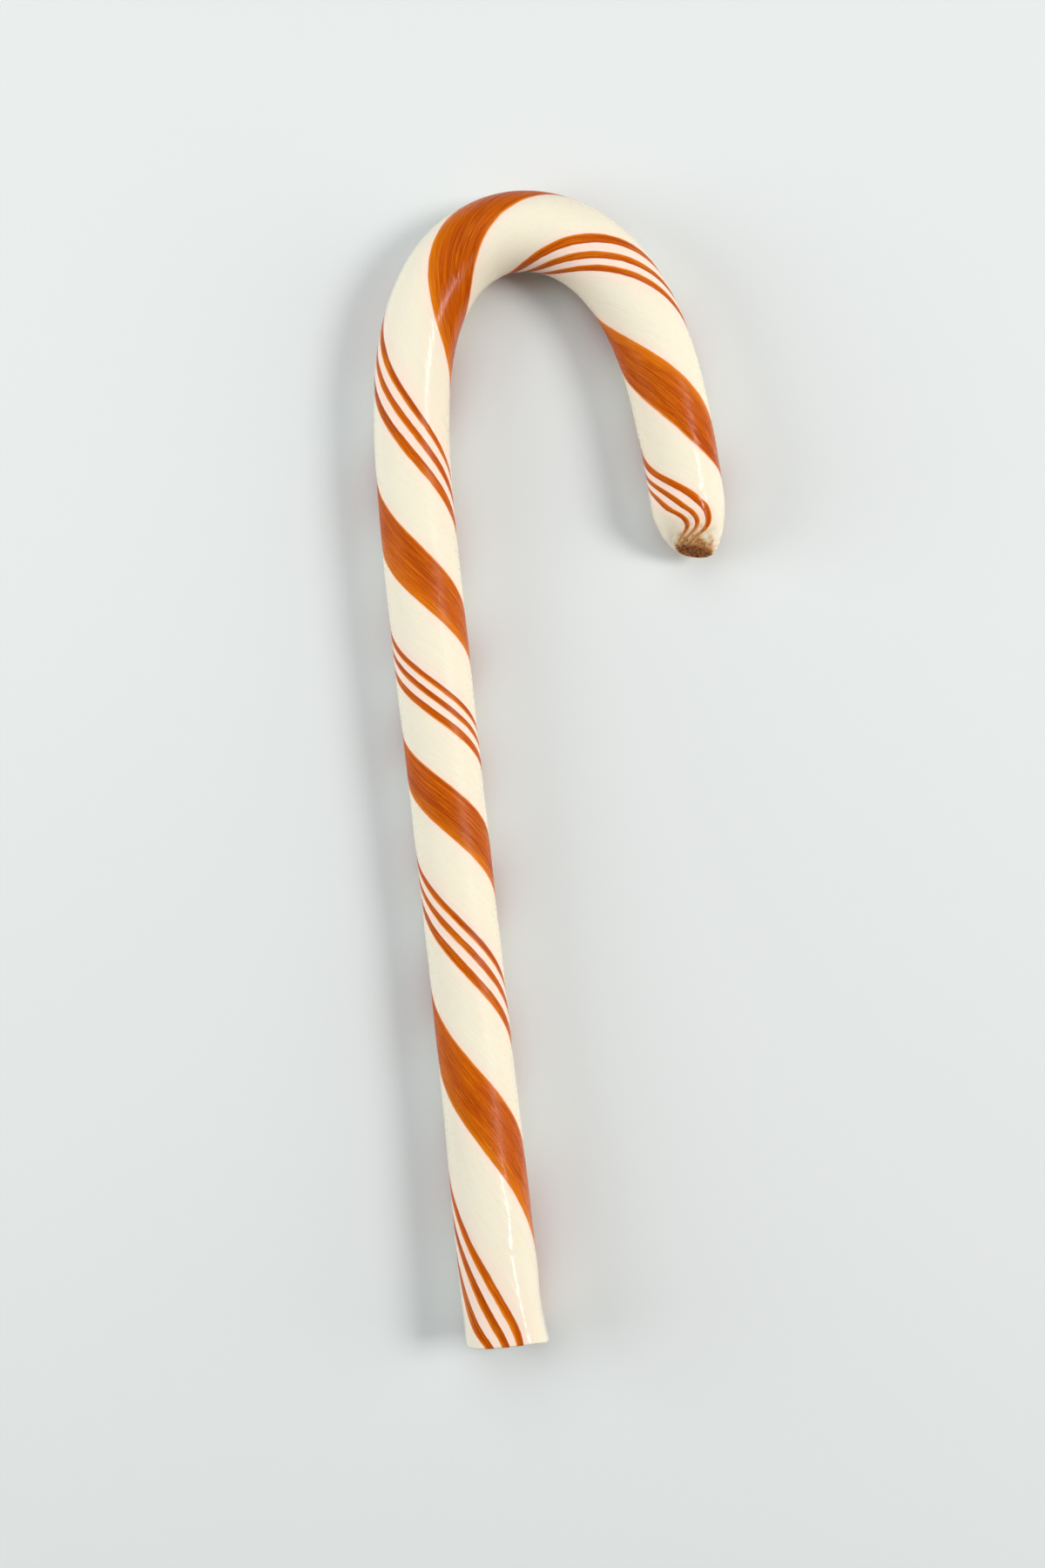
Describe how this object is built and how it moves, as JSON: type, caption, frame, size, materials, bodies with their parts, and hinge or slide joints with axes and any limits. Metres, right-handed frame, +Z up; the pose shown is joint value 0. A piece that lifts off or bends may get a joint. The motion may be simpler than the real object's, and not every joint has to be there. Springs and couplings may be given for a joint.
{
  "type": "candy cane",
  "caption": "Hooked stick of pulled sugar with winding orange stripes, sawn square at the stem end and nipped off at the hook end.",
  "frame": {"origin": "on the table, under the middle of the cane's box as it lies on its side", "axes": "+Y along the stem from its cut end towards the bend, +X from the stem towards the hook's free leg, +Z up out of the table, through the shown side"},
  "size_m": [0.046, 0.1506, 0.0104],
  "materials": {
    "pulled_sugar": "glossy cream boiled sugar with one wide orange stripe and a group of thin orange stripes opposite it"
  },
  "bodies": {
    "root": {"candy_cane": "pulled_sugar"}
  },
  "joints": []
}
